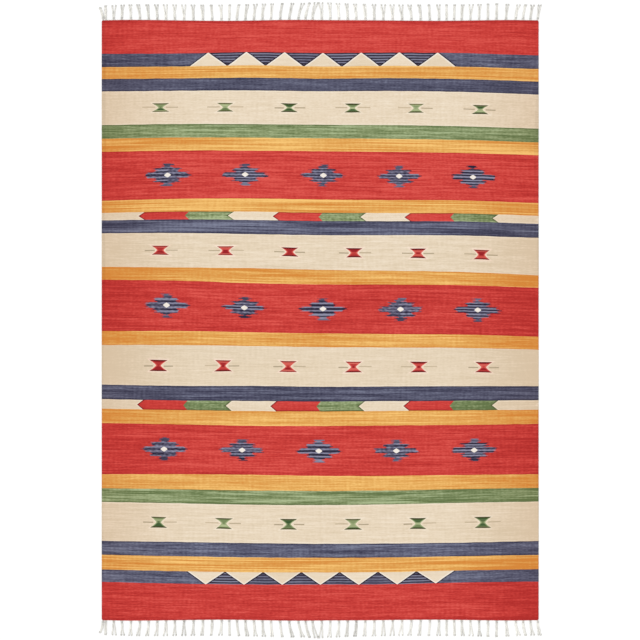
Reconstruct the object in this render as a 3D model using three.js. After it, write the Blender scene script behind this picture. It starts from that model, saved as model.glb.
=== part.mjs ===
// A flat-woven rug, spread flat: one woven cloth and, at each end, the comb of its knotted warp ends.
// Millimetres, +Z up. X runs across the rug, Y along it, and the rug lies on the plane Z = 0.
import * as THREE from "three";

// Driving dimensions.
const WIDTH = 1600; // the woven cloth, selvedge to selvedge
const LENGTH = 2197; // the woven cloth, from one fringe to the other
const THICKNESS = 3;
const EDGE_ROUND = 1.2; // how far the cloth's edges are rounded over
const CORNER_RADIUS = 6;
const SEAT_GAP = 0.3; // between the cloth and each comb of fringe
const END_STEP = 40; // distance between the points of an end line

// The cloth's ends run slightly in and out. The table is read from one selvedge to the other.
const END_LINE = [
  { across: -800, reach: -2 },
  { across: -700, reach: 1.5 },
  { across: -350, reach: -2 },
  { across: -90, reach: 1.5 },
  { across: 60, reach: 0.5 },
  { across: 430, reach: -2 },
  { across: 700, reach: 1 },
  { across: 800, reach: -2 },
];

// The fringe. Each tassel is a bundle of warp ends: a web at the cloth, a knot, then two plied cords.
const FIRST_ROOT = -786; // the second tassel, from which the pitch is counted
const PITCH = 31.66;
const WEB = 1.8; // depth of the web between two tassels
const NECK = { out: 3.4, half: 2.2 };
const KNOT = { low: 5.4, high: 9.2, half: 3.6 };
const SHOULDER = 11;
const CORD_RADIUS = 2;
const CLOSE_CORDS = 1.4; // how far a cord's middle stands from the tassel's where the two lie together
const TIP_TAPER = 0.8; // how much narrower than the cord its end is, on each side
const LEAN_CURVE = 0.4; // the share of a tassel's lean that comes late, towards its tips
const FLANK_SHARES = [0.5, 0.9]; // where along the cords the outline has its points

// Where each tassel stands and how it lies, in millimetres. Tassels between two rows go from one to the next.
const TASSEL_LAYOUT = [
  { tassel: 0, shift: 21.6, lean: -9.54, reach: 48 },
  { tassel: 1, shift: 0, lean: 0, reach: 55 },
  { tassel: 3, shift: -4, lean: 3, reach: 57 },
  { tassel: 5, shift: -1, lean: -7, reach: 58 },
  { tassel: 9, shift: 0, lean: -1, reach: 59 },
  { tassel: 14, shift: 13, lean: -4, reach: 60 },
  { tassel: 16, shift: 6, lean: 7, reach: 61 },
  { tassel: 20, shift: 4, lean: 4, reach: 62 },
  { tassel: 23, shift: 10, lean: 15, reach: 63 },
  { tassel: 25, shift: -2, lean: 13, reach: 66 },
  { tassel: 26, shift: 0, lean: -3, reach: 66 },
  { tassel: 30, shift: 0, lean: -5, reach: 61 },
  { tassel: 33, shift: 4, lean: 0, reach: 60 },
  { tassel: 36, shift: 12, lean: -7, reach: 60 },
  { tassel: 39, shift: 18, lean: -2, reach: 61 },
  { tassel: 42, shift: 6, lean: 4, reach: 60 },
  { tassel: 46, shift: 7, lean: 0, reach: 62 },
  { tassel: 48, shift: 14, lean: 10, reach: 58 },
  { tassel: 51, shift: 0, lean: 6.6, reach: 58 },
];

// The four ways in which a tassel's two cords lie: where they part, as a share of their length,
// and how far each tip then stands from the middle of the tassel.
const TASSEL_KINDS = {
  I: { fork: 0.9, spread: 2.2 }, // together down to the tips
  U: { fork: 0.25, spread: 4.2 }, // side by side
  Y: { fork: 0.5, spread: 5.5 }, // parting half way
  V: { fork: 0.12, spread: 6.4 }, // parting at the knot
};
const TASSEL_CHART = "IIVYUUUYVYVYUIYIIUYYUIUYIVVYYUUUYVVVYUIYIIUVYIIUYIYU";

// How high the comb stands at a distance out from the cloth.
const COMB_CREST = [
  { out: 0, top: 2.2 },
  { out: NECK.out, top: 2.6 },
  { out: KNOT.low, top: 6 },
  { out: KNOT.high, top: 6 },
  { out: SHOULDER, top: 4 },
  { out: 50, top: 4 },
  { out: 66, top: 3.4 },
];

const WOVEN_CLOTH = new THREE.MeshStandardMaterial({
  color: 0xc8453f,
  roughness: 0.95,
  metalness: 0,
});
const FRINGE_YARN = new THREE.MeshStandardMaterial({
  color: 0xe9e3d4,
  roughness: 0.95,
  metalness: 0,
});

// Reads one column of a table at a place between two of its rows. ease bends the straight run between them.
function readTable(table, key, at, column, ease = (share) => share) {
  const next = table.findIndex((row) => row[key] >= at);
  if (next === 0) return table[0][column];
  if (next < 0) return table[table.length - 1][column];
  const [low, high] = [table[next - 1], table[next]];
  const share = (at - low[key]) / (high[key] - low[key]);
  return THREE.MathUtils.lerp(low[column], high[column], ease(share));
}

// The cloth's end line: how far from the middle of the rug it runs, at a place across the rug.
function endLine(across) {
  const swell = readTable(END_LINE, "across", across, "reach", (share) =>
    THREE.MathUtils.smoothstep(share, 0, 1),
  );
  return LENGTH / 2 + swell;
}

// The places across the rug at which both the cloth and the combs have a point of the end line.
function endStations() {
  const half = WIDTH / 2 - CORNER_RADIUS;
  const count = Math.round((2 * half) / END_STEP);
  return Array.from(
    { length: count + 1 },
    (_, i) => -half + (2 * half * i) / count,
  );
}

// A rounded corner of the cloth, from the end line round to the selvedge.
function cornerPoints(side, end) {
  const x = side * (WIDTH / 2 - CORNER_RADIUS);
  const y = end * (endLine(x) - CORNER_RADIUS);
  return [0.25, 0.5, 0.75, 1].map((share) => {
    const angle = (share * Math.PI) / 2;
    return new THREE.Vector2(
      x + side * CORNER_RADIUS * Math.sin(angle),
      y + end * CORNER_RADIUS * Math.cos(angle),
    );
  });
}

// The woven cloth: a flat sheet with rounded edges and its two uneven ends.
function clothGeometry() {
  const head = endStations().map((x) => new THREE.Vector2(x, endLine(x)));
  const foot = endStations().map((x) => new THREE.Vector2(x, -endLine(x)));
  const outline = [
    ...foot,
    ...cornerPoints(1, -1),
    ...cornerPoints(1, 1).reverse(),
    ...head.reverse(),
    ...cornerPoints(-1, 1),
    ...cornerPoints(-1, -1).reverse(),
  ];
  const cloth = new THREE.ExtrudeGeometry(new THREE.Shape(outline), {
    depth: THICKNESS - 2 * EDGE_ROUND,
    steps: 1,
    bevelEnabled: true,
    bevelThickness: EDGE_ROUND,
    bevelSize: EDGE_ROUND,
    bevelOffset: -EDGE_ROUND,
    bevelSegments: 2,
  });
  return cloth.translate(0, 0, EDGE_ROUND);
}

// One tassel's own measures, from its place in the row.
function tasselAt(index) {
  const read = (column) => readTable(TASSEL_LAYOUT, "tassel", index, column);
  return {
    root: FIRST_ROOT + (index - 1) * PITCH + read("shift"),
    lean: read("lean"),
    reach: read("reach"),
    ...TASSEL_KINDS[TASSEL_CHART[index]],
  };
}

// One tassel's outline from its left foot on the web to its right foot: [across, out] pairs.
function tasselOutline({ root, lean, reach, fork, spread }) {
  const out = (share) => SHOULDER + (reach - SHOULDER) * share;
  const middle = (share) =>
    root + lean * share * (1 - LEAN_CURVE + LEAN_CURVE * share);
  const apart = (share) => {
    const opening = Math.max(0, (share - fork) / (1 - fork));
    return THREE.MathUtils.lerp(CLOSE_CORDS, spread, opening);
  };
  const flank = (side, share) => [
    middle(share) + side * (apart(share) + CORD_RADIUS),
    out(share),
  ];
  const tip = (side, edge) => [
    middle(1) + side * spread + edge * (CORD_RADIUS - TIP_TAPER),
    reach,
  ];
  const half = (side) => [
    [root + side * NECK.half, NECK.out],
    [root + side * KNOT.half, KNOT.low],
    [root + side * KNOT.half, KNOT.high],
    flank(side, 0),
    ...FLANK_SHARES.map((share) => flank(side, share)),
    tip(side, side),
    tip(side, -side),
  ];
  const crotch = [middle(fork), out(fork)];
  return [...half(-1), crotch, ...half(1).reverse()];
}

// The comb of fringe at the head end: a thin web along the cloth with every tassel on it.
// Its underside is flat, and its top follows the crest table.
function combGeometry() {
  const tassels = Array.from(TASSEL_CHART, (_, index) => tasselAt(index));
  const lift = (across, out) =>
    new THREE.Vector2(across, endLine(across) + SEAT_GAP + out);
  const edge = WIDTH / 2 - 1;
  const inner = [-edge, ...endStations(), edge].map((x) => lift(x, 0));
  const outer = [lift(-edge, WEB)];
  tassels.forEach((tassel, index) => {
    outer.push(...tasselOutline(tassel).map(([x, out]) => lift(x, out)));
    const next = tassels[index + 1];
    outer.push(lift(next ? (tassel.root + next.root) / 2 : edge, WEB));
  });
  const comb = new THREE.ExtrudeGeometry(
    new THREE.Shape([...inner, ...outer.reverse()]),
    { depth: 1, steps: 1, bevelEnabled: false },
  );
  const position = comb.getAttribute("position");
  for (let i = 0; i < position.count; i++) {
    if (position.getZ(i) === 0) continue;
    const out = position.getY(i) - endLine(position.getX(i)) - SEAT_GAP;
    position.setZ(i, readTable(COMB_CREST, "out", out, "top"));
  }
  comb.computeVertexNormals();
  return comb;
}

function namedMesh(name, geometry, material) {
  const mesh = new THREE.Mesh(geometry, material);
  mesh.name = name;
  return mesh;
}

const rug = new THREE.Group();
rug.add(namedMesh("woven_cloth", clothGeometry(), WOVEN_CLOTH));
rug.add(namedMesh("fringe_head", combGeometry(), FRINGE_YARN));

// The foot end's fringe is the head end's, mirrored across the middle of the rug.
const foot = namedMesh("fringe_foot", combGeometry(), FRINGE_YARN);
foot.scale.y = -1;
rug.add(foot);

export default rug;
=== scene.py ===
# A hand-woven kilim lying flat: its woven cloth, and a comb of knotted warp fringe at each end.
import math
from collections import namedtuple
from types import SimpleNamespace as Sizes
import bpy
import numpy as np
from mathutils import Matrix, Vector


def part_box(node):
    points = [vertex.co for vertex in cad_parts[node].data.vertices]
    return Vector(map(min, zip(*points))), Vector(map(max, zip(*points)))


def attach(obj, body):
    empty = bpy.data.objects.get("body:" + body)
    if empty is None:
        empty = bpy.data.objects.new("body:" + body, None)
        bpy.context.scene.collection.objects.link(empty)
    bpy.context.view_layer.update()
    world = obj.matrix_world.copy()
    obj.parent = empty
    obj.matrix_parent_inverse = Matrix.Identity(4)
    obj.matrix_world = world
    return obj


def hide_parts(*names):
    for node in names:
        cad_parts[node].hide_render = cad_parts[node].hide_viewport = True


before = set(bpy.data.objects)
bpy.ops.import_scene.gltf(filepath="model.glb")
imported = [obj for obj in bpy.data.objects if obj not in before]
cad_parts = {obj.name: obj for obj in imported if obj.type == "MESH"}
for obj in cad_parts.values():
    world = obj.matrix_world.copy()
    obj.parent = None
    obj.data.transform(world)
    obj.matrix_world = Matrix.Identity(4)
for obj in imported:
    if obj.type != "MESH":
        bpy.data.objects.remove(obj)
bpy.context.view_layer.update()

# ---- Sizes. Tables and motifs are in millimetres, and meshes in metres.

MM = 0.001
TURN = 2 * math.pi
cloth_low, cloth_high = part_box("woven_cloth")
WIDTH = (cloth_high.x - cloth_low.x) / MM
THICKNESS = (cloth_high.z - cloth_low.z) / MM
END_SWELL = 1.5  # the furthest that the uneven end line runs out
LENGTH = (cloth_high.y - cloth_low.y) / MM - 2 * END_SWELL
HALF_WIDTH = WIDTH / 2
HALF_LENGTH = LENGTH / 2


def table(columns, *rows):
    """A table as one array for each named column."""
    return dict(zip(columns.split(), np.array(rows, float).T))


# The cloth's ends run slightly in and out.
END_LINE = table(
    "across reach",
    (-800, 0), (-700, 1.5), (-350, -2), (-90, 1.5), (60, 0.5), (430, -2), (700, 1), (800, 0),
)

# How far each weft lies above its own height in the middle of the rug, at seven places across it.
WEFT_BOW = table(
    "level -800 -500 -250 0 250 500 800",
    (-1098, 0, 0, 0, 0, 0, 0, 0),
    (-966, 10, 3, 0, 0, 1, 7, 11),
    (-818, 11, 6, 2, 0, 1, 4, 10),
    (-624, 10, 6, 2, 0, 2, 7, 11),
    (-570, 6, 6, 4, 0, 0, 3, 6),
    (-388, 11, 6, 1, 0, 2, 4, 8),
    (-243, 8, 3, 3, 0, 1, 2, 2),
    (-47, 9, 9, 4, 0, -2, -4, -12),
    (132, 17, 13, 4, 0, -1, -3, -12),
    (184, 11, 9, 6, 0, -3, -7, -20),
    (312, 7, 8, 4, 0, 0, -1, -10),
    (442, -5, 3, 4, 0, -2, -3, -13),
    (667, -2, 3, 2, 0, -2, -6, -15),
    (838, -1, 2, 3, 0, 1, -2, -12),
    (978, -3, -1, 4, 0, 2, 0, -8),
    (1098, 0, 0, 0, 0, 0, 0, 0),
)

# How far the warps have drifted to the right, at five places across the rug.
WARP_DRIFT = table(
    "level -580 -290 0 290 580",
    (-950, 0, 0, 0, 1, 4),
    (-746, 1, 3, 2, 2, 3),
    (-477, -4, -2, -5, -5, -4),
    (-315, -1, 0, 0, 0, 1),
    (-171, 0, 0, 2, 5, 6),
    (42, 5, 6, 10, 10, 9),
    (253, 7, 9, 6, 4, -2),
    (379, 4, 8, 8, 4, 3),
    (531, 9, 9, 12, 5, -10),
    (781, 8, 7, 3, -4, -6),
    (950, 9, 9, 9, 9, 9),
)

# Yarn colours as dyed: a dark, a plain and a light shade of each, from which stripes are spun.
YARNS = {
    "red": ((182, 43, 40), (206, 62, 56), (226, 88, 79)),
    "navy": ((56, 56, 78), (90, 91, 113), (126, 130, 152)),
    "gold": ((218, 139, 57), (229, 169, 88), (250, 200, 118)),
    "cream": ((221, 202, 173), (234, 216, 190), (244, 229, 207)),
    "green": ((100, 118, 72), (138, 152, 107), (172, 187, 143)),
    "steel": ((34, 28, 52), (86, 83, 106), (143, 143, 166)),
    "ink": ((40, 28, 42), (86, 83, 106), (138, 139, 160)),
    "white": ((226, 214, 198), (244, 236, 226), (252, 248, 241)),
    "bright red": ((156, 28, 34), (203, 68, 62), (232, 122, 108)),
    "moss": ((56, 86, 46), (122, 138, 92), (188, 198, 150)),
    "olive": ((72, 70, 38), (96, 94, 58), (132, 126, 86)),
    "maroon": ((96, 24, 20), (134, 36, 34), (170, 60, 50)),
    "blush": ((232, 196, 172), (248, 214, 194), (255, 228, 212)),
    "twine": ((118, 104, 76), (164, 146, 116), (208, 188, 158)),
}

# The stripes from the foot of the rug to its head: height, yarn, how far it leans to the yarn's
# dark shade (-1) or light shade (1), how strong its broad streaks, thin streaks and grain are,
# how long its streaks run, and how far painted shade darkens it toward its left and its right
# selvedge.
Stripe = namedtuple("Stripe", "height yarn lean broad thin grain run left right")
STRIPES = [
    Stripe(131, "red", -0.03, 0.5, 0.7, 0.42, 0.9, 0.2, 0.75),
    Stripe(44.5, "navy", 0.12, 0.5, 0.6, 0.36, 0.9, 0, 0.4),
    Stripe(53.5, "gold", -0.12, 1.1, 0.6, 0.28, 1.8, 0.2, 1.05),
    Stripe(51.5, "navy", 0.1, 0.65, 0.6, 0.36, 1, 0.15, 0.2),
    Stripe(141.5, "cream", -0.02, 0.4, 0.6, 0.32, 1, 0.6, 1.05),
    Stripe(51.5, "green", -0.02, 1.2, 1.05, 0.34, 1.3, 0.15, 0.75),
    Stripe(55.5, "gold", 0.15, 0.6, 0.6, 0.3, 1.3, 0.5, 0.85),
    Stripe(182.5, "red", 0.05, 0.62, 0.72, 0.42, 1.2, 0.45, 0.65),
    Stripe(53.5, "gold", 0.1, 0.7, 0.5, 0.3, 1.4, 0.95, 1),
    Stripe(36, "cream", -0.1, 0.25, 0.45, 0.32, 0.9, 0.75, 0.9),
    Stripe(54.5, "navy", -0.26, 0.7, 0.6, 0.32, 1.1, 0, 0.1),
    Stripe(145, "cream", -0.25, 0.25, 0.5, 0.32, 1, 1, 1.05),
    Stripe(50, "gold", -0.12, 0.75, 0.62, 0.3, 1.3, 0.6, 0.85),
    Stripe(180, "red", -0.05, 0.62, 0.72, 0.42, 1.1, 0.5, 0.65),
    Stripe(53, "gold", -0.3, 0.8, 0.58, 0.3, 1.5, 0.8, 0.65),
    Stripe(126.9, "cream", -0.1, 0.45, 0.65, 0.32, 0.8, 0.9, 0.85),
    Stripe(51.9, "navy", 0.04, 0.85, 0.7, 0.3, 1.6, 0.3, 0.1),
    Stripe(30.3, "cream", 0.12, 0.25, 0.45, 0.32, 0.9, 0.85, 0.6),
    Stripe(48.4, "gold", 0.2, 1.2, 0.55, 0.24, 2, 1, 0.7),
    Stripe(177, "red", 0.2, 0.62, 0.75, 0.42, 1.2, 0.5, 0.2),
    Stripe(47.5, "gold", 0.25, 1.1, 0.55, 0.26, 1.8, 0.95, 0.15),
    Stripe(49.5, "green", 0.05, 0.7, 0.8, 0.38, 1, 0.4, 0.6),
    Stripe(122.5, "cream", 0.08, 0.25, 0.5, 0.4, 0.8, 0.75, 0.6),
    Stripe(46.5, "navy", -0.22, 0.4, 0.5, 0.36, 1, 0.1, 0),
    Stripe(44.5, "gold", -0.06, 0.85, 0.5, 0.3, 1.7, 0.45, 0.25),
    Stripe(49, "navy", -0.05, 0.45, 0.66, 0.38, 0.8, 0.4, 0.05),
    Stripe(120, "red", 0.2, 0.42, 0.62, 0.4, 1, 0.45, 0.35),
]


def smoothstep(share):
    share = np.clip(share, 0, 1)
    return share * share * (3 - 2 * share)


def spans(places, at):
    """The span of places that each of at lies in: its number, its length and the share passed."""
    low = np.clip(np.searchsorted(places, at, side="right") - 1, 0, len(places) - 2)
    gap = places[low + 1] - places[low]
    return low, gap, np.clip((at - places[low]) / gap, 0, 1)


def eased(start, stop, slope_at_start, slope_at_stop, gap, share):
    """A smooth curve over one gap, through a value and a slope at each side of it."""
    rise = smoothstep(share)
    lift = slope_at_start * (1 - share) - slope_at_stop * share
    return start * (1 - rise) + stop * rise + gap * share * (1 - share) * lift


def read_grid(grid, across, level):
    """A table with a row for each level and a column for each place, read at many points."""
    columns = [column for column in grid if column != "level"]
    places = np.array(columns, float)
    rows = np.stack([grid[column] for column in columns], 1)
    low, gap, share = spans(grid["level"], level.ravel())
    slope = np.gradient(rows, grid["level"], axis=0)
    gap, share = gap[:, None], share[:, None]
    row = eased(rows[low], rows[low + 1], slope[low], slope[low + 1], gap, share)
    left, gap, share = spans(places, across.ravel())
    slope = np.gradient(row, places, axis=1)
    here, there = (np.arange(left.size), left), (np.arange(left.size), left + 1)
    found = eased(row[here], row[there], slope[here], slope[there], gap, share)
    return found.reshape(across.shape)


def end_swell(across):
    """How far the end line runs out past its nominal place, at places across the rug."""
    low, _, share = spans(END_LINE["across"], across)
    rise = smoothstep(share)
    return END_LINE["reach"][low] * (1 - rise) + END_LINE["reach"][low + 1] * rise


# ---- The woven cloth's mesh.

GRID_STEP = 9.6
EDGE_LINES = (0, 0.15, 0.5, 1, 1.5, 3, 5.5, 9)  # grid lines beside each edge
CORNER_RADIUS = 6
END_WAVE_DEPTH = 120  # how far into the cloth its uneven end is felt
SELVEDGE = Sizes(width=9, height=0.5)
RIPPLE = 0.5  # height of the cloth's gentle waves
FOLD = Sizes(height=0.7, half_width=9, start=150, grows_over=500)
BOW_ROUNDS = 3  # how often a point's level is worked out again from the bow of its weft


def edge_spaced(half):
    """Places from -half to half, close together beside both ends."""
    near = np.array(EDGE_LINES)
    inner = half - near[-1]
    count = round(2 * inner / GRID_STEP)
    middle = np.linspace(-inner, inner, count + 1)[1:-1]
    return np.concatenate([-half + near, middle, (half - near)[::-1]])


def ripple(x, y):
    """The height of the cloth over the floor, where it doesn't lie quite flat."""
    # Three trains of long waves that cross and bend one another, cut off where they dip.
    waves = (
        np.sin(x / 190 + 1.1 * np.sin(y / 310))
        + np.sin(y / 240 + 0.9 * np.sin(x / 270) + 1.7)
        + 0.6 * np.sin((x + 0.7 * y) / 120 + 0.4)
    )
    fold = np.exp(-((x / FOLD.half_width) ** 2))
    fold = fold * smoothstep((FOLD.start - y) / FOLD.grows_over)
    return RIPPLE * np.clip(waves, 0, None) / 2 + FOLD.height * fold


def cloth_points():
    """The cloth's grid: places, half the thickness, selvedge ridge, and woven coordinates."""
    xs, ys = edge_spaced(HALF_WIDTH), edge_spaced(HALF_LENGTH)
    across, along = np.meshgrid(xs, ys, indexing="ij")
    # The grid's square corners are drawn in to round ones.
    inner_x, inner_y = HALF_WIDTH - CORNER_RADIUS, HALF_LENGTH - CORNER_RADIUS
    a = np.clip((np.abs(across) - inner_x) / CORNER_RADIUS, 0, 1)
    b = np.clip((np.abs(along) - inner_y) / CORNER_RADIUS, 0, 1)
    round_a, round_b = a * np.sqrt(1 - b * b / 2), b * np.sqrt(1 - a * a / 2)
    corner = (a > 0) & (b > 0)
    x = np.where(corner, np.sign(across) * (inner_x + CORNER_RADIUS * round_a), across)
    y = np.where(corner, np.sign(along) * (inner_y + CORNER_RADIUS * round_b), along)
    # The edges are half round.
    inset = np.minimum(HALF_WIDTH - np.abs(across), HALF_LENGTH - np.abs(along))
    inset = np.where(corner, CORNER_RADIUS * (1 - np.hypot(round_a, round_b)), inset)
    radius = THICKNESS / 2
    depth = np.clip(radius - inset, 0, radius)
    half_height = np.sqrt(np.clip(radius**2 - depth**2, 0, None))
    felt = smoothstep((np.abs(along) - HALF_LENGTH + END_WAVE_DEPTH) / END_WAVE_DEPTH)
    y = y + np.sign(along) * felt * end_swell(across)
    cord = np.clip((HALF_WIDTH - np.abs(across)) / SELVEDGE.width, 0, 1)
    ridge = SELVEDGE.height * np.sin(math.pi * cord) ** 2
    level = along
    for _ in range(BOW_ROUNDS):
        level = along - read_grid(WEFT_BOW, across, level)
    warp = across - read_grid(WARP_DRIFT, across, along)
    return x, y, half_height, ridge, warp, level


def make_cloth():
    """The woven cloth as one closed sheet with rounded edges."""
    x, y, half_height, ridge, warp, level = cloth_points()
    base = THICKNESS / 2 + ripple(x, y)

    def on_both_sides(top, under):
        """The points of the top, then those of the underside that lie inside the edge."""
        layers = (np.stack(top, -1), np.stack(under, -1)[1:-1, 1:-1])
        return np.concatenate([layer.reshape(-1, layer.shape[-1]) for layer in layers])

    def quads(index):
        return np.stack([index[:-1, :-1], index[1:, :-1], index[1:, 1:], index[:-1, 1:]], -1)

    points = on_both_sides((x, y, base + half_height + ridge), (x, y, base - half_height))
    upper = np.arange(x.size).reshape(x.shape)
    lower = upper.copy()
    lower[1:-1, 1:-1] = np.arange(x.size, len(points)).reshape(lower[1:-1, 1:-1].shape)
    faces = np.concatenate([quads(upper).reshape(-1, 4), quads(lower)[..., ::-1].reshape(-1, 4)])
    mesh = bpy.data.meshes.new("kilim_cloth")
    mesh.from_pydata((points * MM).tolist(), [], faces.tolist())
    woven = (warp, level)
    place = (x / WIDTH + 0.5, y / (LENGTH + 2 * END_SWELL) + 0.5)
    add_map(mesh, "weave", on_both_sides(woven, woven)[faces.ravel()] * MM)
    add_map(mesh, "OFBake", on_both_sides(place, place)[faces.ravel()])
    mesh.uv_layers["weave"].active_render = True
    return finished(mesh)


def add_map(mesh, name, corners):
    """A two-number coordinate on the mesh's face corners."""
    layer = mesh.uv_layers.new(name=name, do_init=False)
    layer.uv.foreach_set("vector", corners.astype(np.float32).ravel())


def in_scene(name, data):
    """An object of a mesh, a lamp or a camera, placed in the scene."""
    thing = bpy.data.objects.new(name, data)
    bpy.context.scene.collection.objects.link(thing)
    return thing


def finished(mesh):
    """Smooth faces, and an object of the mesh's own name."""
    mesh.polygons.foreach_set("use_smooth", np.ones(len(mesh.polygons), bool))
    mesh.validate()
    return in_scene(mesh.name, mesh)


# ---- The fringe. Its layout is the one that the solid combs have.

SEAT_GAP = 0.3
FLOOR_GAP = 0.05
FIRST_ROOT = -786
PITCH = 31.66
END_INSET = 1  # how far the first and the last warp stand in from the selvedges
TASSEL_LAYOUT = table(
    "tassel shift lean reach",
    (0, 21.6, -9.54, 48), (1, 0, 0, 55), (3, -4, 3, 57), (5, -1, -7, 58), (9, 0, -1, 59),
    (14, 13, -4, 60), (16, 6, 7, 61), (20, 4, 4, 62), (23, 10, 15, 63), (25, -2, 13, 66),
    (26, 0, -3, 66), (30, 0, -5, 61), (33, 4, 0, 60), (36, 12, -7, 60), (39, 18, -2, 61),
    (42, 6, 4, 60), (46, 7, 0, 62), (48, 14, 10, 58), (51, 0, 6.6, 58),
)
TASSEL_KINDS = {  # where a tassel's cords part, and how far each tip stands from the middle
    "I": (0.9, 2.2), "U": (0.25, 4.2), "Y": (0.5, 5.5), "V": (0.12, 6.4),
}
TASSEL_CHART = "IIVYUUUYVYVYUIYIIUYYUIUYIVVYYUUUYVVVYUIYIIUVYIIUYIYU"
KNOT_SHADE = -5.0  # painted shade: how much greyer the knots are than their cords

# The pieces of a tassel. Places are out from the cloth's end, and heights over the floor.
WARP = Sizes(
    count=8, radius=0.7, points=6, sides=5,
    gap=1.5,  # between a tassel's outer warps and the middle of the way to the next tassel
    hub=1.2,  # half the width that the warps keep inside the knot
    sag=0.7, hidden=1.6, short=1.0,
)
KNOT = Sizes(
    out=5.6, height=3.5, turn=2.2, yarn=1.8, points=22, sides=7,
    turns=1.3, first=0.2, half_length=2.2, squash=0.85,
)
CORE = Sizes(points=6, back=3.2, length=8.2, drop=0.9, radius=1.9, taper=0.4)
CORD = Sizes(start=10.0, curve=0.4, apart=1.7, wander=0.48, height=2.0, rise=1.1)
PLY = Sizes(count=3, radius=1.15, turn=11.0, points=24, sides=5)
HAIR = Sizes(
    count=18, radius=0.16, length=14.0, points=4, sides=3,
    skin=1.8, out=2.6, tilt=1.2, flatness=0.6, end=0.05,
)
END_KNOT = Sizes(back=1.8, radius=2.8, half_length=3.8, points=7, sides=7, blunt=1.08)
TUFT = Sizes(
    count=7, radius=0.32, length=5.0, shortest=0.6, points=4, sides=3,
    splay=0.7, spread=1.1, lean=0.02, loose=0.5, fall=0.9,
)
UPRIGHT = np.array([0.0, 0.0, 1.0])
OUTWARD = np.array([0.0, 1.0, 0.0])

Tassel = namedtuple("Tassel", "root lean reach fork spread")


def normalised(vectors):
    return vectors / np.linalg.norm(vectors, axis=-1, keepdims=True)


def frame_along(paths, reference):
    """The directions ahead, sideways and up at each point of paths."""
    ahead = normalised(np.gradient(paths, axis=-2))
    side = normalised(np.cross(ahead, reference))
    return ahead, side, np.cross(side, ahead)


class Bundle:
    """Many round strands gathered into one mesh, with a coordinate along and around each."""

    def __init__(self):
        self.points, self.faces, self.corners, self.tones = [], [], [], []
        self.count = 0

    def add(self, paths, radii, sides, tone, reference=UPRIGHT):
        """Strands along paths of shape (strands, points, 3). radii broadcast to their points."""
        strands, points, _ = paths.shape
        shape = (strands, points, sides)
        radii = np.broadcast_to(radii, (strands, points))
        _, side, up = frame_along(paths, reference)
        angle = TURN * np.arange(sides) / sides
        ring = np.cos(angle)[:, None] * side[:, :, None] + np.sin(angle)[:, None] * up[:, :, None]
        skin = paths[:, :, None] + radii[:, :, None, None] * ring
        index = self.count + np.arange(strands * points * sides).reshape(shape)
        here, there = index[:, :-1], index[:, 1:]
        walls = np.stack([here, there, np.roll(there, -1, 2), np.roll(here, -1, 2)], -1)
        step = np.linalg.norm(np.diff(paths, axis=1), axis=-1)
        along = np.concatenate([np.zeros((strands, 1)), np.cumsum(step, 1)], 1)
        along = np.broadcast_to(along[:, :, None], shape)
        around = np.broadcast_to(np.arange(sides) / sides, shape)
        near, low, high = around[:, :-1], along[:, :-1], along[:, 1:]
        far = near + 1 / sides
        corners = [(near, low), (near, high), (far, high), (far, low)]
        self.faces += walls.reshape(-1, 4).tolist()
        self.corners.append(np.stack([np.stack(c, -1) for c in corners], -2).reshape(-1, 2))
        for ring_index, place in ((index[:, 0], 0), (index[:, -1, ::-1], -1)):
            self.faces += ring_index.tolist()
            end = np.stack([around[:, place], along[:, place]], -1)
            self.corners.append(end.reshape(-1, 2))
        self.points.append(skin.reshape(-1, 3))
        self.tones.append(np.repeat(np.broadcast_to(tone, (strands,)), points * sides))
        self.count += strands * points * sides

    def mesh(self, name):
        made = bpy.data.meshes.new(name)
        made.from_pydata((np.concatenate(self.points) * MM).tolist(), [], self.faces)
        add_map(made, "yarn", np.concatenate(self.corners) * (1, MM))
        # tone is each tassel's random tone, with the painted shade of the knots and warps added
        # in.
        tone = made.attributes.new("tone", "FLOAT", "POINT")
        tone.data.foreach_set("value", np.concatenate(self.tones).astype(np.float32))
        return made


def tassel_at(number):
    """Where one tassel stands and how it lies."""
    shift, lean, reach = [
        np.interp(number, TASSEL_LAYOUT["tassel"], TASSEL_LAYOUT[column])
        for column in ("shift", "lean", "reach")
    ]
    root = FIRST_ROOT + (number - 1) * PITCH + shift
    return Tassel(root, lean, reach, *TASSEL_KINDS[TASSEL_CHART[number]])


def placed(across, out, height):
    """Points from their places across the rug, out from the cloth's end, and over the floor."""
    across, out, height = np.broadcast_arrays(across, out, height)
    return np.stack([across, out + SEAT_GAP, height], -1)


def add_warps(bundle, root, left, right, tone):
    """The warps, which come out of the cloth side by side and run together into the knot."""
    share = np.linspace(0, 1, WARP.points)
    feet = np.linspace(left + WARP.gap, right - WARP.gap, WARP.count)[:, None]
    hub = root + np.linspace(-WARP.hub, WARP.hub, WARP.count)[:, None]
    drawn = smoothstep(share**0.8)
    sag = WARP.sag * np.sin(math.pi * share)
    warps = placed(
        feet * (1 - drawn) + hub * drawn,
        -WARP.hidden * (1 - share) + (KNOT.out - WARP.short) * share**2.4,
        THICKNESS / 2 + (KNOT.height - THICKNESS / 2) * share**2 - sag,
    )
    # The warps get half the knots' painted shade.
    bundle.add(warps, WARP.radius, WARP.sides, tone + KNOT_SHADE / 2)


def add_knot(bundle, root, tone, chance):
    """The knot: a good turn of the gathered warps round themselves, and the core they bind."""
    angle = np.linspace(KNOT.first, TURN * KNOT.turns, KNOT.points) + chance.uniform(0, 2)
    rise = np.linspace(-KNOT.half_length, KNOT.half_length, KNOT.points)
    turn = placed(
        root + KNOT.turn * np.cos(angle),
        KNOT.out + rise,
        KNOT.height + KNOT.turn * KNOT.squash * np.sin(angle),
    )
    # The knot's turn gets the knots' painted shade.
    bundle.add(turn[None], KNOT.yarn, KNOT.sides, tone + KNOT_SHADE, reference=OUTWARD)
    share = np.linspace(0, 1, CORE.points)
    out = KNOT.out - CORE.back + CORE.length * share
    core = placed(root, out, KNOT.height - CORE.drop * share)
    bundle.add(core[None], CORE.radius - CORE.taper * share, KNOT.sides, tone)


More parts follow.
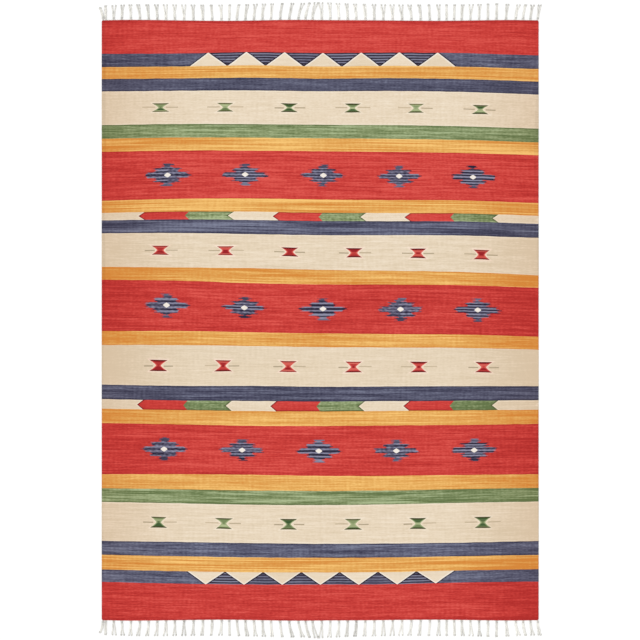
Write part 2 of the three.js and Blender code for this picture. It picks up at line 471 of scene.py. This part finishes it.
def add_cord(bundle, tassel, hand, tone, chance):
    """One of a tassel's two cords: three yarns plied together, lying on the floor."""
    share = np.linspace(0, 1, PLY.points)
    opening = np.clip((share - tassel.fork) / (1 - tassel.fork), 0, 1)
    middle = tassel.root + tassel.lean * share * (1 - CORD.curve + CORD.curve * share)
    half_waves = chance.uniform(0.8, 2.2)
    wander = CORD.wander * np.sin(math.pi * share * half_waves) * chance.normal(0, 1)
    apart = CORD.apart + (tassel.spread - CORD.apart) * opening
    length = tassel.reach - CORD.start - TUFT.length * TUFT.shortest
    line = placed(
        middle + hand * apart + wander,
        CORD.start + length * share,
        CORD.height + CORD.rise * (1 - share) ** 3,
    )
    gone = np.concatenate([[0], np.cumsum(np.linalg.norm(np.diff(line, axis=0), axis=1))])
    starts = TURN * np.arange(PLY.count) / PLY.count + chance.uniform(0, 6)
    turn = starts[:, None] + TURN * gone / PLY.turn
    ahead, side, up = frame_along(line, UPRIGHT)
    offset = np.cos(turn)[..., None] * side + np.sin(turn)[..., None] * up
    bundle.add(line + PLY.radius * offset, PLY.radius, PLY.sides, tone)
    add_hairs(bundle, line, gone[-1], tone, chance)
    add_cord_end(bundle, line[-1], ahead[-1], tassel.lean, tone, chance)


def add_hairs(bundle, line, length, tone, chance):
    """Loose hairs that stand a little off a cord."""
    each = (HAIR.count, 1)
    middle = chance.uniform(HAIR.end, 1 - HAIR.end, each)
    run = np.linspace(-0.5, 0.5, HAIR.points) * HAIR.length / length
    spots = np.clip(middle + run, 0, 1) * (len(line) - 1)
    base = spots.astype(int).clip(0, len(line) - 2)
    share = (spots - base)[..., None]
    paths = line[base] * (1 - share) + line[base + 1] * share
    arch = 1 - (run / run[-1]) ** 2
    bulge = HAIR.skin + HAIR.out * arch * chance.uniform(0, 1, each)
    turn = chance.uniform(-HAIR.tilt, HAIR.tilt, each)
    turn = turn + math.pi * chance.integers(0, 2, each)
    paths[..., 0] += bulge * np.cos(turn)
    paths[..., 2] += bulge * np.sin(turn) * HAIR.flatness
    bundle.add(paths, HAIR.radius, HAIR.sides, tone)


def add_cord_end(bundle, tip, ahead, lean, tone, chance):
    """The small knot that stops a cord, and the fibres that fray out beyond it."""
    stop = tip - END_KNOT.back * OUTWARD
    swell = np.linspace(-1, 1, END_KNOT.points)
    lump = stop + ahead * swell[:, None] * END_KNOT.half_length
    girth = END_KNOT.radius * np.sqrt(np.clip(END_KNOT.blunt - swell**2, 0, None))
    # The end knot gets the knots' painted shade.
    bundle.add(lump[None], girth, END_KNOT.sides, tone + KNOT_SHADE)
    each = (TUFT.count, 1)
    splay = chance.normal(0, 1, each)
    length = TUFT.length * chance.uniform(TUFT.shortest, 1.0, each)
    loose = chance.normal(0, TUFT.loose, each)
    share = np.linspace(0, 1, TUFT.points)
    across = splay * (TUFT.splay + TUFT.spread * share) + lean * TUFT.lean * share
    height = loose * (1 - share) - TUFT.fall * share**2
    fibres = stop + np.stack([across, length * share, height], -1)
    bundle.add(fibres, TUFT.radius, TUFT.sides, tone)


def make_fringe(name, end, seed):
    """The fringe of one end, end being 1 at the head and -1 at the foot."""
    chance = np.random.default_rng(seed)
    bundle = Bundle()
    tassels = [tassel_at(number) for number in range(len(TASSEL_CHART))]
    halfway = [(a.root + b.root) / 2 for a, b in zip(tassels, tassels[1:])]
    edges = [END_INSET - HALF_WIDTH, *halfway, HALF_WIDTH - END_INSET]
    for tassel, left, right in zip(tassels, edges, edges[1:]):
        tone = chance.normal(0, 1)
        add_warps(bundle, tassel.root, left, right, tone)
        add_knot(bundle, tassel.root, tone, chance)
        for hand in (-1, 1):
            add_cord(bundle, tassel, hand, tone, chance)
    for points in bundle.points:
        points[:, 1] += HALF_LENGTH + end_swell(np.clip(points[:, 0], -HALF_WIDTH, HALF_WIDTH))
        points[:, 2] = np.maximum(points[:, 2], FLOOR_GAP)
    mesh = bundle.mesh(name)
    if end < 0:
        mesh.transform(((1, 0, 0, 0), (0, -1, 0, 0), (0, 0, 1, 0), (0, 0, 0, 1)))
        mesh.flip_normals()
    return finished(mesh)


# ---- Node trees written as arithmetic.


def set_inputs(node, values):
    """Put a constant, or what a field or another node's socket brings, on a node's inputs."""
    for name, value in values.items():
        value = value.socket if isinstance(value, Field) else value
        if isinstance(value, bpy.types.NodeSocket):
            node.id_data.links.new(value, node.inputs[name])
        else:
            node.inputs[name].default_value = value


def add_node(tree, kind, inputs=None, **settings):
    """A new shader node with its settings and inputs."""
    node = tree.nodes.new("ShaderNode" + kind)
    for name, value in settings.items():
        setattr(node, name, value)
    set_inputs(node, inputs or {})
    return node


def calculation(operation):
    """A way for fields to work something out with one operation of Blender's Math node."""

    def method(self, *others):
        inputs = dict(enumerate((self, *others)))
        return Field(add_node(self.tree, "Math", inputs, operation=operation).outputs[0])

    return method


class Field:
    """A number that varies over a surface, so that a pattern can be written as arithmetic."""

    __add__ = __radd__ = calculation("ADD")
    __sub__ = calculation("SUBTRACT")
    __mul__ = __rmul__ = calculation("MULTIPLY")
    __truediv__ = calculation("DIVIDE")
    __pow__ = calculation("POWER")
    __abs__ = calculation("ABSOLUTE")
    __lt__ = calculation("LESS_THAN")
    __gt__ = calculation("GREATER_THAN")
    scaled_and_raised = calculation("MULTIPLY_ADD")
    floor = calculation("FLOOR")
    modulo = calculation("FLOORED_MODULO")
    sine = calculation("SINE")
    cosine = calculation("COSINE")
    least = calculation("MINIMUM")
    most = calculation("MAXIMUM")

    def __init__(self, socket):
        self.socket = socket
        self.tree = socket.id_data

    def __rsub__(self, other):
        return self.scaled_and_raised(-1, other)

    def __neg__(self):
        return self * -1

    def centred(self, pitch):
        """The distance from the nearest multiple of pitch."""
        return (self + pitch / 2).modulo(pitch) - pitch / 2

    def clamped(self):
        return self.most(0).least(1)

    def fade(self, none, full):
        """0 where this is none, 1 where it is full, straight between them and level beyond."""
        return ((self - none) / (full - none)).clamped()

    def mixed(self, other, share):
        """This where share is 0, and other where it is 1."""
        return self + (other - self) * share


def vector_of(*parts):
    """Two or three numbers as one vector. At least one of them is a field."""
    tree = next(part.tree for part in parts if isinstance(part, Field))
    return add_node(tree, "CombineXYZ", dict(enumerate(parts))).outputs[0]


def noise(*place, detail=0):
    """Smooth noise round 0, with features about one unit across."""
    vector = vector_of(*place)
    inputs = {"Vector": vector, "Scale": 1, "Detail": detail}
    node = add_node(vector.id_data, "TexNoise", inputs, noise_dimensions="2D")
    return Field(node.outputs[0]) - 0.5


def patches(across, along, length, height, strength):
    """Soft patches of light and dark, of one length across the rug and one height along it."""
    return noise(across / length, along / height) * strength


def luck_of(*numbers, most=0.5, least=None):
    """A random number from -most, or from least, up to most, for each set of numbers.

    A constant among the numbers sets one kind of luck apart from another.
    """
    least = -most if least is None else least
    vector = vector_of(*numbers)
    node = add_node(vector.id_data, "TexWhiteNoise", {"Vector": vector})
    return Field(node.outputs["Value"]).scaled_and_raised(most - least, least)


def coordinates(tree, name):
    """The two numbers of a mesh's own map, in its own units."""
    split = add_node(tree, "SeparateXYZ", {0: add_node(tree, "UVMap", uv_map=name).outputs[0]})
    return Field(split.outputs[0]), Field(split.outputs[1])


def blend(share, low, high):
    """The colour low where share is 0 and high where it is 1."""
    inputs = {0: share, 6: low, 7: high}  # the inputs that a mix of two colours has
    node = add_node(share.tree, "Mix", inputs, data_type="RGBA", clamp_factor=True)
    return node.outputs[2]


def multiplied(colour, factors):
    """A colour with its red, green and blue each multiplied by a factor."""
    inputs = {0: colour, 1: vector_of(*factors)}
    return add_node(colour.id_data, "VectorMath", inputs, operation="MULTIPLY").outputs[0]


def relief(height):
    """The bump of a height in mm."""
    inputs = {"Distance": MM, "Strength": 1, "Height": height}
    return add_node(height.tree, "Bump", inputs).outputs[0]


def stripe_lookup(index, colours):
    """The colour of each stripe, by its number from the foot of the rug."""
    count = len(colours)
    node = add_node(index.tree, "ValToRGB", {0: (index + 0.5) / count})
    ramp = node.color_ramp
    ramp.interpolation = "CONSTANT"
    for number, colour in enumerate(colours):
        spot = ramp.elements[0] if number == 0 else ramp.elements.new(number / count)
        spot.position = number / count
        spot.color = colour
    if len(ramp.elements) > count:
        ramp.elements.remove(ramp.elements[-1])
    return node.outputs[0]


def stripe_numbers(index, rows):
    """Three numbers for each stripe, none of them below 0, as three fields."""
    colour = stripe_lookup(index, [(*row, 1) for row in rows])
    split = add_node(index.tree, "SeparateColor", {0: colour})
    return [Field(output) for output in split.outputs]


LIGHT = 1.15  # the light that falls on a level surface, over the light of a plain white sky


def linear(colour):
    """A colour as it looks, given as red, green and blue to 255, as the surface's own colour."""
    values = [c / 255 for c in colour]
    curve = [v / 12.92 if v <= 0.04045 else ((v + 0.055) / 1.055) ** 2.4 for v in values]
    return (*[v / LIGHT for v in curve], 1.0)


class Paint:
    """Three shades of one yarn over a surface, to be mixed by how the yarn is streaked."""

    def __init__(self, shades):
        self.shades = shades

    def over(self, mask, yarn):
        """This with another yarn woven in where mask is 1."""
        new = [linear(colour) for colour in YARNS[yarn]]
        return Paint([blend(mask, old, shade) for old, shade in zip(self.shades, new)])

    def at(self, streak):
        """The colour where streak runs from -1, the dark shade, to 1, the light one."""
        dark, plain, light = self.shades
        return blend(streak.clamped(), blend((-streak).clamped(), plain, dark), light)


# ---- The woven pattern. warp and weft are the cloth's own coordinates across and along, in mm,
# and streak is how the yarn leans to its dark shade (-1) or its light one (1), so what is added
# to it or taken from it is an amount of shade.

STRIPE_EDGES = np.cumsum([0] + [stripe.height for stripe in STRIPES])
STRIPE_EDGES = (STRIPE_EDGES / STRIPE_EDGES[-1] - 0.5) * LENGTH


def stripe_middle(number):
    return (STRIPE_EDGES[number] + STRIPE_EDGES[number + 1]) / 2


def stripe_height(number):
    return STRIPE_EDGES[number + 1] - STRIPE_EDGES[number]


def within(field, number):
    """1 where field lies in a stripe."""
    return (field > STRIPE_EDGES[number]) * (field < STRIPE_EDGES[number + 1])


PICK = 1.3  # one weft thread
RIB = Sizes(pitch=4.0, height=0.16, power=0.6)  # one warp
BEAD = Sizes(height=0.14, power=0.7)  # a weft thread where it passes over a warp

PEAKS = Sizes(
    count=7, pitch=140, half_base=67, tip=1.5, shift=1,
    band=9.6,  # from one dark thread to the next in the navy between two peaks
    valley=0.3,  # the share of a stripe's height below which the navy is darker
    slit=(8.4, 1.4),  # how far past a slope the painted shade of its slit begins, and is full
    turned=(-9.1, -2.1),  # the same for the light yarn that turns back inside the slope
)
PEAK_STRIPES = ((25, 1), (1, -1))  # stripe, and the way its peaks point


def add_peaks(paint, warp, weft, streak):
    """The rows of cream triangles in the outer navy stripes, with banded navy between them."""
    pitch = PEAKS.pitch
    across = warp - PEAKS.shift
    from_middle = abs(across.centred(pitch))
    for number, points in PEAK_STRIPES:
        base = STRIPE_EDGES[number] if points > 0 else STRIPE_EDGES[number + 1]
        rise = (weft - base) * (points / stripe_height(number))
        row = within(weft, number) * (abs(across) < PEAKS.count * pitch / 2)
        slope = PEAKS.half_base - rise * (PEAKS.half_base - PEAKS.tip)
        past = from_middle - slope
        peak = (from_middle < slope) * row
        # Navy between the peaks, banded, and darkest in the valleys.
        strength = luck_of((across / pitch).floor(), number + 0.5, least=0.5, most=1.8)
        banding = (weft * (TURN / PEAKS.band)).sine() * strength
        between = (abs(across) < (PEAKS.count - 1) * pitch / 2) * row
        valley = rise.fade(PEAKS.valley, 0) * 1.2
        # The slit beside each slope is darkened with painted shade.
        slit = past.fade(*PEAKS.slit) * row
        ground = streak + between * (banding - streak * 0.5 - valley - 0.15) - slit * 2.2
        # Cream peaks, each with a shade of its own, and lightest where the yarn turns back.
        own = luck_of((across / pitch + 0.5).floor(), number + 0.7, least=0, most=1)
        turned = past.fade(*PEAKS.turned)
        cream = streak * 0.5 + 0.35 - own * 0.6 + turned * (0.65 + own * 0.5)
        streak = ground.mixed(cream, peak)
        # Ink darkens the banded navy, and lies in the slits as painted shade.
        paint = paint.over((slit * 0.9 + between * 0.8).clamped(), "ink")
        paint = paint.over(peak, "cream").over(peak * turned * 0.75, "white")
    return paint, streak


DIAMONDS = Sizes(
    stripes=(19, 13, 7), count=5, pitch=284, band=13.4,
    arm=9.3,  # half the height of the middle, whose bands have a strength of their own
    taper=0.5,  # how much narrower the widest step grows for each mm of height
    cap=28,  # the height over which a diamond's tip has one shade
    outside=-250,  # half the width past the last step: nothing, whatever luck adds
)
DIAMOND_STEPS = (  # the height at which each step ends, and half its width
    (9.5, 79), (13, 45), (18, 47), (25, 50), (28, 24), (34, 18), (41, 21),
)
HEART = Sizes(half_width=12.6, half_height=8.8, power=1.2)
FAR_AWAY = 999  # from any diamond


def add_diamonds(paint, warp, weft, streak):
    """The stepped blue diamonds on the red stripes, each with a white middle."""
    height = weft * 0 + FAR_AWAY
    row_number = weft * 0
    for order, number in enumerate(DIAMONDS.stripes):
        here = within(weft, number)
        height = height.mixed(weft - stripe_middle(number), here)
        row_number = row_number + here * (order + 1)
    pitch = DIAMONDS.pitch
    across = warp.centred(pitch)
    which = ((warp + pitch / 2) / pitch).floor()
    row = abs(warp) < DIAMONDS.count * pitch / 2
    far = abs(height)
    side = across > 0
    up = height > 0
    half = which * 2 + up  # the upper or the lower half of one diamond
    flank = which * 3 + side  # its left or its right half
    # The steps of one half stand a little higher or lower than those of another.
    step_height = far * (1 + luck_of(half, row_number, 31, most=0.05))
    step_height = step_height + luck_of(half, row_number, 32, most=1.75)
    step = step_height * 0
    reach = DIAMOND_STEPS[0][1] - step_height.least(DIAMOND_STEPS[0][0]) * DIAMONDS.taper
    widths = [half_width for _, half_width in DIAMOND_STEPS] + [DIAMONDS.outside]
    for (outer, half_width), following in zip(DIAMOND_STEPS, widths[1:]):
        beyond = step_height > outer
        step = step + beyond
        reach = reach + beyond * (following - half_width)
    # Bands of dark and light yarn. The dark ones reach out a little further.
    start = (luck_of(which, row_number, 4) > 0) * 0.5
    drift = noise(height / 11 + row_number * 17.3, which * 7.7) * 0.35
    band = luck_of(which, row_number, 9, least=0.7, most=1.2) * DIAMONDS.band
    wave = ((far / band + start + drift) * TURN).cosine()
    pick = (height / PICK).floor()
    ragged = luck_of(pick, flank, row_number)
    reach = reach + luck_of(step * 2 + up, flank, row_number, most=4)
    reach = reach + ragged * 14 + wave * 4
    figure = (abs(across) < reach) * row
    # Each diamond, and each of its sides, has bands of its own strength.
    own = luck_of(which, row_number, 41, least=0, most=1)
    arm = (far > DIAMONDS.arm) + 7
    strength = luck_of(which * 2 + side, row_number, arm, least=0, most=0.9) + own * 1.1 + 0.1
    luck = luck_of(pick, which * 7 + side, row_number + 20, most=0.35)
    mottle = noise(warp / 12, height / 4.2 + row_number * 5)
    shade = luck + mottle * (1.8 - own * 0.9) - wave * strength
    cap_shade = luck_of(half, row_number, 51, least=-1.3, most=0.9)
    shade = shade.mixed(cap_shade, (step_height > DIAMONDS.cap) * 0.75)
    streak = streak.mixed(shade, figure)
    tall = (far / HEART.half_height) ** HEART.power
    heart = ((abs(across) / HEART.half_width) ** HEART.power + tall < 1) * row
    paint = paint.over(figure, "steel").over(heart, "white")
    return paint, streak.mixed(ragged * 0.8 + 0.1, heart)


HOURGLASSES = Sizes(
    pitch=237, count=6, half=31.5, uneven=2.5, zones=5, rim=5,
    outline=(1.8, 7.8),  # how far inside its edge a light outline begins to fade, and is gone
    outline_shade=0.7,
    halo=7,
)
Hourglass = namedtuple("Hourglass", "stripe yarn rim halo half_height waist flare shade")
HOURGLASS_ROWS = (
    Hourglass(22, "moss", "olive", "cream", 16, 8.5, 1.3, 0.6),
    Hourglass(15, "bright red", "maroon", "blush", 16.5, 12.5, 1.4, -0.9),
    Hourglass(11, "bright red", "maroon", "blush", 20, 9, 1.25, -0.9),
    Hourglass(4, "moss", "olive", "cream", 19.5, 9, 1.3, 0.2),
)
WHISKER = Sizes(start=20, to=60, uneven=16, half=2.2, stagger=4)


def add_hourglasses(paint, warp, weft, streak):
    """The small hourglasses on the cream stripes, each with a thread out to both sides."""
    pitch = HOURGLASSES.pitch
    across = (warp - pitch / 2).centred(pitch)
    from_middle = abs(across)
    which = (warp / pitch).floor()
    row = abs(warp) < HOURGLASSES.count * pitch / 2
    side = (across > 0) * 2 - 1
    outline_shade, halo_width = HOURGLASSES.outline_shade, HOURGLASSES.halo
    for order, kind in enumerate(HOURGLASS_ROWS):
        height = weft - stripe_middle(kind.stripe)
        far = abs(height)
        up = height > 0
        half = luck_of(which, order * 2 + up, 3, most=HOURGLASSES.uneven) + HOURGLASSES.half
        flare = kind.waist + (half - kind.waist) * (far / kind.half_height) ** kind.flare
        figure = (from_middle < flare) * (far < kind.half_height) * row
        # Zones of different shades, the waist's own in the middle, inside a light outline.
        zone = (height * (HOURGLASSES.zones / 2 / kind.half_height) + 0.5).floor()
        luck = luck_of(zone, which, order * 5)
        middle = 1 - abs(zone).least(1)
        shade = luck * 2.6 - 0.25 + middle * (kind.shade + 0.25 - luck * 0.8)
        core = (flare - from_middle).fade(*HOURGLASSES.outline)
        streak = streak.mixed(outline_shade + (shade - outline_shade) * core, figure)
        rim = figure * (far > kind.half_height - HOURGLASSES.rim)
        streak = streak - rim * 0.5
        paint = paint.over(figure, kind.yarn).over(rim * 0.85, kind.rim)
        # The cream is lighter round the figure.
        beside = (from_middle - flare).fade(halo_width, 0)
        beyond = (far - kind.half_height).fade(halo_width, 0)
        halo = beside * beyond * row * (1 - figure)
        streak = streak + halo * 1.2
        paint = paint.over(halo * 0.6, kind.halo)
        # A thread runs out on each side.
        luck = luck_of(which, side, order + 11)
        thread = abs(height - luck * WHISKER.stagger) < WHISKER.half
        reach = luck * WHISKER.uneven + WHISKER.to
        span = (from_middle > WHISKER.start) * (from_middle < reach)
        whisker = thread * span * row * (1 - figure)
        streak = streak.mixed(luck * 2, whisker)
        paint = paint.over(whisker * (0.75 + luck * 0.4), "twine")
    return paint, streak


ARROWS = Sizes(
    start=-670, count=9, pitch=162.3, tip=22, blunt=15, slip=7,
    edge=9,  # how far the shade changes beside a slanted join
    rim=0.7,  # the share of the way to a band's border at which its rim starts
    pick=3,  # the height of a thread that has one shade
)
ARROW_STRIPES = ((17, 1), (9, -1))  # stripe, and on which side of it the gold stripe lies


def add_arrows(paint, warp, weft, streak):
    """The two narrow bands of red, green and cream arrows that all point left."""
    pitch, edge = ARROWS.pitch, ARROWS.edge
    from_start = warp - ARROWS.start
    nearest = (from_start / pitch + 0.5).floor().modulo(3)
    blunt = abs(nearest - 1) < 0.5
    for number, gold_side in ARROW_STRIPES:
        here = within(weft, number)
        height = (weft - stripe_middle(number)) * (2 / stripe_height(number))
        far = abs(height)
        depth = ARROWS.tip - blunt * (ARROWS.tip - ARROWS.blunt)
        place = (from_start - far * depth - blunt * ARROWS.slip) / pitch
        arrow = place.floor()
        kind = arrow.modulo(3)
        row = here * (place > 0) * (place < ARROWS.count)
        red = row * (kind < 0.5)
        green = row * (abs(kind - 1) < 0.5)
        dyed = red + green
        bare = here - dyed
        paint = paint.over(red, "red").over(green, "green")
        luck = luck_of(arrow, number + 0.5, most=0.35)
        pick = (weft / ARROWS.pick).floor()
        luck = luck + luck_of(pick, arrow, number + 0.5, most=0.45)
        # The cream's light border lines stop where the dyed yarns come in.
        rim = far.fade(ARROWS.rim, 1)
        gold_rim = (height * gold_side).fade(ARROWS.rim, 1)
        streak = streak * (1 + green * 0.7) + red * 0.1 + green * (luck - 0.1)
        streak = streak - dyed * (rim * 0.7 + gold_rim * 1.5)
        # Beside each slanted join the darker yarn is darker and the cream lighter.
        into = place.modulo(1) * pitch
        after = into.fade(edge, 0)
        before = into.fade(pitch - edge, pitch)
        streak = streak - red * after * 1.4 - green * before * 1.2 + bare * (after + before) * 1.2
        paint = paint.over(red * (after * 0.9).most(gold_rim * 0.45), "maroon")
        paint = paint.over(green * (before * 0.7).most(gold_rim * 0.6), "olive")
    return paint, streak


LINE_SHIFT = (37.73, 11.37)  # how far apart two lines' noise lies, so that they differ


def lines(warp, weft, picks, length, strength, detail=0):
    """Shade that changes along a few neighbouring weft threads and differs from line to line."""
    line = (weft / (PICK * picks)).floor()
    place = warp / length + line * LINE_SHIFT[0], line * LINE_SHIFT[1]
    return noise(*place, detail=detail) * strength


def streaks(warp, weft, broad, thin, grain, run):
    """How the yarn's shade runs along the wefts."""
    along = warp / run
    wide = lines(along, weft, picks=3.2, length=220, strength=2.9)
    cloud = patches(along, weft, length=420, height=26, strength=0.9)
    narrow = lines(along, weft, picks=2, length=70, strength=3, detail=1)
    speck = patches(warp, weft, length=11, height=3.1, strength=2.6)
    rib = noise(warp / 9, weft / 55 + 8) * 0.5
    return (wide + cloud) * broad + narrow * thin + speck * grain + rib


def weave_height(warp, weft):
    """The cloth's relief in mm: ribs over the warps, and beads of weft packed on each rib."""
    number = (warp / RIB.pitch).floor()
    rib = abs((warp * (math.pi / RIB.pitch)).sine()) ** RIB.power
    shifted = weft + number.modulo(2) * PICK
    bead = abs((shifted * (math.pi / (2 * PICK))).sine()) ** BEAD.power
    return rib * RIB.height + bead * rib * BEAD.height


# Where two stripes of different brightness meet, the darker one is darker for a few threads and
# the lighter one lighter: not at all at the least contrast, and fully at the most.
BORDER = Sizes(full=2.5, reach=6, strength=0.7, least=30, most=80)


def border_lines(index, level):
    """A light or dark line along each side of the borders between stripes."""
    contrast = np.diff([np.mean(YARNS[stripe.yarn][1]) for stripe in STRIPES])
    least, most = BORDER.least, BORDER.most
    upward = np.sign(contrast) * np.clip((abs(contrast) - least) / (most - least), 0, 1)
    # Leans from dark (-1) to light (1), and places along the rug, all from 0 to 1 in a lookup.
    lower, upper = np.append(0, upward) / 2 + 0.5, np.append(-upward, 0) / 2 + 0.5
    starts, heights = (STRIPE_EDGES[:-1] + HALF_LENGTH) / LENGTH, np.diff(STRIPE_EDGES) / LENGTH
    lean_low, lean_high, start = stripe_numbers(index, zip(lower, upper, starts))
    height, _, _ = stripe_numbers(index, [(height, 0, 0) for height in heights])
    above = level + HALF_LENGTH - start * LENGTH
    below = height * LENGTH - above
    near_low = above.fade(BORDER.reach, BORDER.full)
    near_high = below.fade(BORDER.reach, BORDER.full)
    lean = near_low * (lean_low * 2 - 1) + near_high * (lean_high * 2 - 1)
    return lean * BORDER.strength


# Where the fold's painted shade and painted highlight lie, and how strong they are.
CREASE = Sizes(
    start=-300, full=-600, shade=-1, shade_half=5, shine=9, shine_half=6, strength=0.17,
)


def crease_shade(warp, weft):
    """Painted shade along a fold down the middle of the foot half, with a painted highlight
    beside it.
    """
    dark = abs(warp - CREASE.shade).fade(CREASE.shade_half, 0)
    light = abs(warp - CREASE.shine).fade(CREASE.shine_half, 0)
    return (light - dark) * weft.fade(CREASE.start, CREASE.full) * CREASE.strength


# ---- The materials.

SIDE_SHADE = Sizes(start=450, full=800, power=1.4)  # painted shade toward the selvedges
SIDE_LOSS = (0.04, 0.09, 0.11)  # how much red, green and blue that painted shade takes from the yarns there
RIM_SHADE = Sizes(start=7, full=4, loss=0.08)  # painted shade on the selvedges themselves
END_SHADE = Sizes(start=13, full=6, lean=0.7, loss=0.03)  # painted shade at the cloth's two ends
DULL = 0.2  # the yarns' specular level, which is 0.5 for most smooth surfaces


def new_material(name):
    """A material and its surface shader."""
    material = bpy.data.materials.new(name)
    material.use_nodes = True
    return material, material.node_tree.nodes["Principled BSDF"]


def stripe_index(level):
    """The number of the stripe that each place lies in, from the foot of the rug."""
    index = level * 0
    for edge in STRIPE_EDGES[1:-1]:
        index = index + (level > edge)
    return index


def cloth_material():
    """The kilim: stripes, motifs, streaked yarns and the relief of a weft-faced plain weave."""
    material, shader = new_material("kilim_weave")
    warp, weft = coordinates(shader.id_data, "weave")
    warp, weft = warp / MM, weft / MM
    level = weft + patches(warp, weft, length=45, height=40, strength=1.6)
    index = stripe_index(level)
    shades = [
        stripe_lookup(index, [linear(YARNS[stripe.yarn][shade]) for stripe in STRIPES])
        for shade in range(3)
    ]
    # A lookup holds nothing below 0, so what a stripe leans is raised by 1 in it.
    lean, broad, thin = stripe_numbers(index, [(s.lean + 1, s.broad, s.thin) for s in STRIPES])
    grain, run, _ = stripe_numbers(index, [(s.grain, s.run, 0) for s in STRIPES])
    # Painted shade: each stripe leans dark toward its left and its right selvedge, by its own
    # amount.
    shade_left, shade_right, _ = stripe_numbers(index, [(s.left, s.right, 0) for s in STRIPES])
    side_shade_share = abs(warp).fade(SIDE_SHADE.start, SIDE_SHADE.full) ** SIDE_SHADE.power
    side_shade_lean = shade_left.mixed(shade_right, warp > 0)
    # Painted shade: the colour leans dark at the cloth's two ends.
    end_shade_share = (HALF_LENGTH - abs(weft)).fade(END_SHADE.start, END_SHADE.full)
    streak = streaks(warp, weft, broad, thin, grain, run) + lean - 1
    streak = streak + border_lines(index, level) + crease_shade(warp, weft)
    streak = streak - side_shade_share * side_shade_lean - end_shade_share * END_SHADE.lean
    paint = Paint(shades)
    for add in (add_peaks, add_diamonds, add_hourglasses, add_arrows):
        paint, streak = add(paint, warp, level, streak)
    # Painted shade on the selvedges' own rims; kept also takes away the ends' painted shade.
    rim = (HALF_WIDTH - abs(warp)).fade(RIM_SHADE.start, RIM_SHADE.full)
    kept = (1 - rim * RIM_SHADE.loss) * (1 - end_shade_share * END_SHADE.loss)
    # Painted shade toward the selvedges takes away red, green and blue by different amounts.
    remaining = [(1 - side_shade_share * loss) * kept for loss in SIDE_LOSS]
    set_inputs(shader, {
        "Base Color": multiplied(paint.at(streak), remaining),
        "Roughness": patches(warp, weft, length=9, height=3, strength=0.2) + 0.9,
        "Specular IOR Level": DULL,
        "Normal": relief(weave_height(warp, weft)),
    })
    return material


COTTON = Sizes(yarn=(248, 246, 239), tone=0.055, twist=0.35, mottle=0.2, relief=0.25)


def fringe_material():
    """Off-white cotton, a little different from tassel to tassel, with twisted fibres."""
    material, shader = new_material("fringe_cotton")
    tree = shader.id_data
    around, along = coordinates(tree, "yarn")
    along = along / MM
    # tone is each tassel's random tone, with the painted shade of the knots and warps added in.
    tone = Field(add_node(tree, "Attribute", attribute_name="tone").outputs["Fac"])
    twist = noise(around * 9 + along * 1.4, along / 5, detail=1)
    mottle = noise(around * 2, along / 3 + tone * 7)
    brightness = 1 + tone * COTTON.tone + twist * COTTON.twist + mottle * COTTON.mottle
    base = add_node(tree, "RGB")
    base.outputs[0].default_value = linear(COTTON.yarn)
    set_inputs(shader, {
        "Base Color": multiplied(base.outputs[0], [brightness] * 3),
        "Roughness": 0.92,
        "Specular IOR Level": DULL,
        "Normal": relief(twist * COTTON.relief),
    })
    return material


# ---- The stage: a pale floor, a plain sky, one soft lamp and the camera straight above.

FLOOR_HALF = 45.0
FLOOR_LOOKS = {"Base Color": (0.94, 0.94, 0.94, 1.0), "Roughness": 0.9, "Specular IOR Level": 0.1}
CAMERA_HEIGHT = 6.5
FRAME_WIDTH = 2.3445  # how much floor the picture takes in
AIM = (-0.0007, 0.0011)  # the point that the camera is over
SENSOR = 36.0
SKY = 0.9
LAMP = Sizes(share=LIGHT - SKY, tilt=35, turn=-40, angle=25)


def make_floor():
    mesh = bpy.data.meshes.new("studio_floor")
    corners = [(-1, -1), (1, -1), (1, 1), (-1, 1)]
    points = [(x * FLOOR_HALF, y * FLOOR_HALF, 0.0) for x, y in corners]
    mesh.from_pydata(points, [], [(0, 1, 2, 3)])
    material, shader = new_material("studio_floor")
    set_inputs(shader, FLOOR_LOOKS)
    mesh.materials.append(material)
    floor = in_scene("studio_floor", mesh)
    return floor


def light_scene():
    world = bpy.data.worlds.new("studio_sky")
    bpy.context.scene.world = world
    world.use_nodes = True
    background = world.node_tree.nodes["Background"]
    set_inputs(background, {"Color": (1.0, 1.0, 1.0, 1.0), "Strength": SKY})
    lamp = bpy.data.lights.new("soft_lamp", "SUN")
    tilt = math.radians(LAMP.tilt)
    lamp.energy = LAMP.share * math.pi / math.cos(tilt)
    lamp.angle = math.radians(LAMP.angle)
    in_scene("soft_lamp", lamp).rotation_euler = (tilt, 0.0, math.radians(LAMP.turn))
    bpy.context.scene.view_settings.view_transform = "Standard"


def make_camera():
    lens = bpy.data.cameras.new("camera")
    lens.sensor_width = SENSOR
    lens.lens = SENSOR * CAMERA_HEIGHT / FRAME_WIDTH
    camera = in_scene("camera", lens)
    camera.location = (*AIM, CAMERA_HEIGHT)
    bpy.context.scene.camera = camera


make_camera()
light_scene()
floor = make_floor()

cloth = make_cloth()
cloth.data.materials.append(cloth_material())
cotton = fringe_material()
fringes = [make_fringe("fringe_at_head", 1, 11), make_fringe("fringe_at_foot", -1, 12)]
for fringe, node in zip(fringes, ("fringe_head", "fringe_foot")):
    fringe.data.materials.append(cotton)
    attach(fringe, "root")
    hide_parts(node)
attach(cloth, "root")
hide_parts("woven_cloth")
